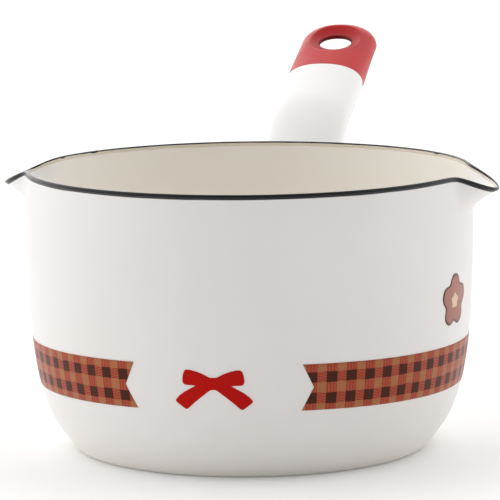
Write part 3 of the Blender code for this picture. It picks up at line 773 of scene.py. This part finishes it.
def make_grip(mat):
    """The white grip as one hollow shell with a faint side seam and its vent hole."""
    body = handle_loft("handle_grip_body", -GRIP_OVERLAP, END_START, 0.0, groove=SEAM_DEPTH)
    cavity = handle_loft("grip_cavity", -CAVITY_OVERLAP, END_START + CAVITY_PAST_END, STEEL)
    upright = Matrix.Identity(4)
    pan_side = cylinder("grip_pan_side", ROOT_CUT_RADIUS, 0.0, 2.0 * PAN_HEIGHT, upright, PAN_CUT_SEGMENTS)
    vent_place = Matrix.Translation(handle_frame(VENT_FROM_WALL)[0])
    vent = cylinder("grip_vent", VENT_RADIUS, -VENT_DEPTH, 0.0, vent_place, VENT_SEGMENTS)
    mesh = cut_mesh(body, [cavity, pan_side, vent])
    mesh.name = "handle_grip"
    smooth(mesh)
    grip = new_object("handle_grip", mesh, mat)
    return finish_piece(grip, "white_enamel", "handle_grip_upper", "handle_grip_lower")


def end_paint(tree, colour):
    """Painted shade: the red is painted darker in the dish, and darkest on the hole's own wall, where
    shade falls.
    """
    inside = Vector((0.0, 0.0, WEB_TOP - 0.5 * WEB_THICKNESS))
    hole = line_point(HOLE_PLACE) + hole_matrix().to_3x3() @ inside
    measure = add(tree, "ShaderNodeVectorMath", {0: place(tree), 1: hole}, operation="DISTANCE")
    away = measure.outputs["Value"]
    # Painted shade over the dish round the hole
    dished = mix(tree, spread(tree, away, *DISH_SHADE_AWAY, 0.8, 0.0), colour, DISH_PAINTED_SHADE)
    # Painted shadow on the hole's own wall
    wall = spread(tree, away, HOLE_RADIUS + 0.3 * WEB_EDGE, HOLE_RADIUS + 1.6 * WEB_EDGE, 0.9, 0.0)
    return mix(tree, wall, dished, HOLE_PAINTED_SHADE)


def make_end(mat):
    """The red end with its dished hanging hole, every edge softened as thick enamel does."""
    body = handle_loft("handle_end_solid", END_START - END_OVERLAP, HANDLE_LENGTH, 0.0)
    cutters = [
        turned("end_dish", dish_profile(), hole_matrix()),
        turned("end_recess", recess_profile(), hole_matrix(RECESS_SHIFT)),
        turned("end_bore", bore_profile(), hole_matrix()),
    ]
    solid = new_object("handle_end_soft", cut_mesh(body, cutters))
    remesh = solid.modifiers.new("even", "REMESH")
    remesh.mode = "VOXEL"
    remesh.voxel_size = END_VOXEL
    soften = solid.modifiers.new("soften", "SMOOTH")
    soften.factor = 0.5
    soften.iterations = END_SOFTENING
    mesh = evaluated(solid)
    shape = bmesh.new()
    shape.from_mesh(mesh)
    centre, direction = handle_frame(END_START)
    everything = shape.verts[:] + shape.edges[:] + shape.faces[:]
    bmesh.ops.bisect_plane(shape, geom=everything, plane_co=centre, plane_no=direction, clear_inner=True)
    rim = [edge for edge in shape.edges if edge.is_boundary]
    bmesh.ops.holes_fill(shape, edges=rim, sides=0)
    shape.to_mesh(mesh)
    shape.free()
    mesh.name = "handle_end_cap"
    smooth(mesh, math.radians(60.0))
    return finish_piece(new_object("handle_end_cap", mesh, mat), "red_enamel", "handle_end")


# ---------------------------------------------------------------- prints

def on_wall(angle, height, lift):
    """A point just off the outer wall."""
    out = wall_radius(height) + lift
    return Vector((out * math.cos(angle), out * math.sin(angle), height))


def print_object(name, mesh, mat):
    """A transfer of fired colour, a tenth of a millimetre thick."""
    sheet = new_object(name, mesh, mat)
    # A few faces are enough to tell which way the sheet looks
    outward = sum(face.normal.xy.dot(face.center.xy) for face in mesh.polygons[:40])
    if outward < 0.0:
        mesh.flip_normals()
    thick = sheet.modifiers.new("sheet", "SOLIDIFY")
    thick.thickness = PRINT_THICKNESS
    thick.offset = 1.0
    mesh.polygons.foreach_set("use_smooth", [True] * len(mesh.polygons))
    return sheet


def gingham(name, first_column):
    """Woven check by the print's own coordinates: U in pitches from the end, V across the ribbon."""
    mat, tree, shader = start_material(name)
    both = add(tree, "ShaderNodeUVMap", uv_map="print").outputs[0]
    split = add(tree, "ShaderNodeSeparateXYZ", {"Vector": both})
    along, across = split.outputs["X"], split.outputs["Y"]
    waver = spread(tree, cloud(tree, 160.0, 2.0), 0.3, 0.7, -EDGE_WAVER, EDGE_WAVER)
    columns = maths(tree, "SUBTRACT", along, first_column)
    phase = maths(tree, "FRACT", maths(tree, "ADD", columns, waver))
    column = maths(tree, "LESS_THAN", phase, COLUMN_SHARE)
    height = maths(tree, "ADD", across, waver)

    def band(low, high):
        above = maths(tree, "GREATER_THAN", height, low)
        return maths(tree, "MULTIPLY", above, maths(tree, "LESS_THAN", height, high))

    def threads_in(thread, colour):
        return mix(tree, spread(tree, thread, 0.1, 0.8, 0.0, THREAD_CONTRAST), clay, colour)

    row = maths(tree, "ADD", *(band(*edges) for edges in DARK_ROWS))
    tan = mix(tree, cloud(tree, 420.0), *GINGHAM_TAN)
    clay = mix(tree, cloud(tree, 380.0), *GINGHAM_CLAY)
    brown = mix(tree, cloud(tree, 520.0), *GINGHAM_BROWN)
    upright = maths(tree, "SINE", maths(tree, "MULTIPLY", along, UPRIGHT_THREADS * math.tau))
    rise = maths(tree, "MULTIPLY", across, LEANING_THREADS * math.tau)
    lean = maths(tree, "MULTIPLY", along, THREAD_LEAN * math.tau)
    leaning = maths(tree, "SINE", maths(tree, "ADD", rise, lean))
    upright_clay = threads_in(upright, UPRIGHT_THREAD)
    leaning_clay = threads_in(leaning, LEANING_THREAD)
    light_row = mix(tree, column, tan, upright_clay)
    dark_row = mix(tree, column, leaning_clay, brown)
    colour = mix(tree, row, light_row, dark_row)
    tree.links.new(colour, shader.inputs["Base Color"])
    tree.links.new(spread(tree, cloud(tree, 130.0), 0.3, 0.7, 0.31, 0.40), shader.inputs["Roughness"])
    threads = maths(tree, "MULTIPLY", maths(tree, "ADD", upright, leaning), 0.5)
    bump = add(tree, "ShaderNodeBump", {"Height": threads, "Strength": 0.05, "Distance": 0.1 * MM})
    tree.links.new(bump.outputs[0], shader.inputs["Normal"])
    shader.inputs["IOR"].default_value = ENAMEL_IOR
    shader.inputs["Specular IOR Level"].default_value = 0.16
    return mat


def make_ribbon(name, side, node, first_column):
    """A printed ribbon from its swallowtail end to the back of the pan; side is 1 or -1."""
    middle = 0.5 * (RIBBON_LOW + RIBBON_HIGH)
    radius = wall_radius(middle)
    to_back = (0.5 * math.pi - PRINT_CENTRE) * side % math.tau
    end = (RIBBON_RIGHT_END if side > 0 else RIBBON_LEFT_END) * radius
    far = (to_back - RIBBON_BACK_GAP) * radius
    verts, faces, coords = [], [], []
    for column in range(RIBBON_COLUMNS + 1):
        for row in range(RIBBON_ROWS + 1):
            share = row / RIBBON_ROWS
            near = end + RIBBON_NOTCH * (1.0 - abs(2.0 * share - 1.0))
            spacing = (column / RIBBON_COLUMNS) ** RIBBON_CROWDING
            arc = near + (far - near) * spacing
            drop = eased(0.0, RIBBON_DROP, arc / (RIBBON_DROP_END * radius))
            height = RIBBON_LOW + (RIBBON_HIGH - RIBBON_LOW) * share - drop
            verts.append(on_wall(PRINT_CENTRE + side * arc / radius, height, PRINT_LIFT))
            coords.append(((arc - end) / RIBBON_PITCH, share))
    step = RIBBON_ROWS + 1
    for column in range(RIBBON_COLUMNS):
        for row in range(RIBBON_ROWS):
            corner = column * step + row
            faces.append((corner, corner + step, corner + step + 1, corner + 1)[::side])
    mesh = bpy.data.meshes.new(name)
    mesh.from_pydata(verts, [], faces)
    layer = mesh.uv_layers.new(name="print")
    for loop in mesh.loops:
        layer.data[loop.index].uv = coords[loop.vertex_index]
    sheet = print_object(name, mesh, gingham(name + "_check", first_column))
    return finish_piece(sheet, "ribbon_print", node)


def rounded(outline, times):
    """Cuts the corners of a closed outline, so that it turns smoothly."""
    for _ in range(times):
        nearer = []
        for start, stop in zip(outline, outline[1:] + outline[:1]):
            nearer += [start.lerp(stop, BOW_CORNER_CUT), start.lerp(stop, 1.0 - BOW_CORNER_CUT)]
        outline = nearer
    return outline


def bow_outline():
    """A plain bow: its right half in millimetres from its middle, mirrored and rounded."""
    half = [
        (0.0, 2.0), (1.1, 2.0), (3.1, 3.1), (5.2, 3.9), (7.2, 4.4), (8.5, 4.5), (9.2, 4.0), (9.6, 2.9),
        (9.9, 1.0), (9.7, 0.0), (9.0, -0.5), (5.5, -0.6), (7.3, -1.6), (9.3, -2.7), (11.1, -4.0),
        (12.4, -5.4), (12.4, -6.1), (9.4, -8.4), (8.7, -8.4), (6.1, -6.1), (3.9, -4.3), (1.1, -2.1),
        (0.0, -1.9),
    ]
    right = [BOW_SCALE * Vector((arc * MM, rise * MM)) for arc, rise in half]
    left = [Vector((-p.x, p.y)) for p in reversed(right[1:-1])]
    return rounded(right + left, 2)


def wrap_outline(name, outline, angle, height, step):
    """A filled outline in arc length and height, cut into small strips and laid on the wall."""
    shape = bmesh.new()
    shape.faces.new([shape.verts.new((p.x, p.y, 0.0)) for p in outline])
    bmesh.ops.triangulate(shape, faces=shape.faces[:])
    # Each cut is shifted a little, so that none runs through the outline's own corners
    for axis in (0, 1):
        values = [vertex.co[axis] for vertex in shape.verts]
        for index in range(math.ceil(min(values) / step), math.floor(max(values) / step) + 1):
            spot = Vector((0.0, 0.0, 0.0))
            spot[axis] = (index + 0.013) * step
            normal = Vector((0.0, 0.0, 0.0))
            normal[axis] = 1.0
            everything = shape.verts[:] + shape.edges[:] + shape.faces[:]
            bmesh.ops.bisect_plane(shape, geom=everything, plane_co=spot, plane_no=normal)
    mesh = bpy.data.meshes.new(name)
    shape.to_mesh(mesh)
    shape.free()
    radius = wall_radius(height)
    for vertex in mesh.vertices:
        vertex.co = on_wall(angle + vertex.co.x / radius, height + vertex.co.y, MOTIF_LIFT)
    return mesh


def make_bow():
    """The bow, a plain red transfer between the ribbon's two ends."""
    mesh = wrap_outline("bow", bow_outline(), PRINT_CENTRE, BOW_HEIGHT, BOW_STEP)
    mat = enamel("bow_red", BOW_RED, gloss=0.08)
    return finish_piece(print_object("bow", mesh, mat), "bow_print", "bow_print")


def flower_paint(tree, colour):
    """Petals darken to their edge, round a pale middle."""
    both = add(tree, "ShaderNodeUVMap", uv_map="print").outputs[0]
    reach = add(tree, "ShaderNodeSeparateXYZ", {"Vector": both}).outputs["X"]
    rim = spread(tree, reach, 0.86, 0.95)
    middle = spread(tree, reach, 0.27, 0.31, 1.0, 0.0)
    edged = mix(tree, rim, colour, FLOWER_EDGE)
    return mix(tree, middle, edged, FLOWER_MIDDLE)


def make_flower():
    """A plain flower, which stands in for the character that the photograph's pan carries."""
    verts, coords, faces = [], [], []
    radius = wall_radius(FLOWER_HEIGHT)
    for ring in range(1, FLOWER_RINGS + 1):
        for step in range(FLOWER_TURNS):
            turn = math.tau * step / FLOWER_TURNS
            dent = (0.5 - 0.5 * math.cos(FLOWER_PETALS * turn)) ** PETAL_SHARPNESS
            reach = FLOWER_RADIUS * (1.0 - FLOWER_PETAL_DEPTH * dent) * ring / FLOWER_RINGS
            arc, rise = reach * math.sin(turn), reach * math.cos(turn)
            verts.append(on_wall(FLOWER_ANGLE + arc / radius, FLOWER_HEIGHT + rise, MOTIF_LIFT))
            coords.append((ring / FLOWER_RINGS, step / FLOWER_TURNS))
    for ring in range(FLOWER_RINGS - 1):
        near, far = ring * FLOWER_TURNS, (ring + 1) * FLOWER_TURNS
        for step in range(FLOWER_TURNS):
            after = (step + 1) % FLOWER_TURNS
            faces.append((near + step, near + after, far + after, far + step))
    verts.append(on_wall(FLOWER_ANGLE, FLOWER_HEIGHT, MOTIF_LIFT))
    coords.append((0.0, 0.0))
    for step in range(FLOWER_TURNS):
        faces.append(((step + 1) % FLOWER_TURNS, step, len(verts) - 1))
    mesh = bpy.data.meshes.new("flower")
    mesh.from_pydata(verts, [], faces)
    layer = mesh.uv_layers.new(name="print")
    for loop in mesh.loops:
        layer.data[loop.index].uv = coords[loop.vertex_index]
    mat = enamel("flower_rose", FLOWER_ROSE, paint=flower_paint)
    return finish_piece(print_object("flower", mesh, mat), "flower_print", "flower_print")


# ---------------------------------------------------------------- studio

def make_floor():
    """A plain white floor that glows a little, in place of the photograph's brightly lit table."""
    mat, tree, shader = start_material("studio_floor")
    colour = mix(tree, spread(tree, cloud(tree, 1.5), 0.3, 0.7), *FLOOR_WHITE)
    tree.links.new(colour, shader.inputs["Base Color"])
    shader.inputs["Roughness"].default_value = 0.7
    shader.inputs["Specular IOR Level"].default_value = 0.2
    shader.inputs["Emission Color"].default_value = (1.0, 1.0, 1.0, 1.0)
    shader.inputs["Emission Strength"].default_value = FLOOR_GLOW
    mesh = bpy.data.meshes.new("floor")
    corners = ((-1, -1), (1, -1), (1, 1), (-1, 1))
    mesh.from_pydata([(x * FLOOR_HALF, y * FLOOR_HALF, cad_low.z) for x, y in corners], [], [(0, 1, 2, 3)])
    new_object("floor", mesh, mat)


def make_world():
    """A white light tent: bright behind and at both sides, dimmer in front, brighter on the left."""
    world = bpy.data.worlds.new("studio")
    bpy.context.scene.world = world
    world.use_nodes = True
    tree = world.node_tree
    back = tree.nodes["Background"]
    direction = add(tree, "ShaderNodeTexCoord").outputs["Generated"]

    def towards(aim):
        made = add(tree, "ShaderNodeVectorMath", {0: direction, 1: aim}, operation="DOT_PRODUCT")
        return made.outputs["Value"]

    front = Vector((math.sin(CAMERA_YAW), -math.cos(CAMERA_YAW), 0.10)).normalized()
    left = Vector((-math.cos(CAMERA_YAW), -math.sin(CAMERA_YAW), 0.0))
    dim = spread(tree, towards(front), 0.05, 0.95, WORLD_BRIGHT, WORLD_DIM)
    sided = maths(tree, "ADD", dim, maths(tree, "MULTIPLY", towards(left), WORLD_TILT))
    tree.links.new(sided, back.inputs["Strength"])
    back.inputs["Color"].default_value = WORLD_TINT


def make_camera():
    """The photograph's view: from the front, a little to the right and above."""
    camera = bpy.data.objects.new("camera", bpy.data.cameras.new("camera"))
    bpy.context.scene.collection.objects.link(camera)
    camera.data.lens = CAMERA_LENS
    camera.data.sensor_width = CAMERA_SENSOR
    camera.data.clip_end = CAMERA_FAR
    aside = CAMERA_DISTANCE * math.sin(CAMERA_YAW)
    stand = Vector((aside, -CAMERA_DISTANCE * math.cos(CAMERA_YAW), CAMERA_HEIGHT))
    turn = Matrix.Rotation(CAMERA_YAW, 4, "Z") @ Matrix.Rotation(0.5 * math.pi - CAMERA_PITCH, 4, "X")
    camera.matrix_world = Matrix.Translation(stand) @ turn @ Matrix.Rotation(CAMERA_ROLL, 4, "Z")
    bpy.context.scene.camera = camera


def main():
    """Camera and studio first, then the pan, its rim, its handle and its prints."""
    make_camera()
    make_world()
    make_floor()
    bpy.context.scene.view_settings.view_transform = "Standard"

    handle_white = enamel("handle_white", HANDLE_WHITE)
    end_red = enamel("end_red", END_RED, gloss=0.2, paint=end_paint)
    make_pan()
    make_rim()
    make_grip(handle_white)
    make_end(end_red)
    for node in ("handle_bracket", "handle_root_weld"):
        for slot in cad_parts[node].material_slots:
            slot.material = handle_white
    make_ribbon("ribbon_right", 1, "ribbon_print_right", RIBBON_RIGHT_COLUMN)
    make_ribbon("ribbon_left", -1, "ribbon_print_left", RIBBON_LEFT_COLUMN)
    make_bow()
    make_flower()


main()
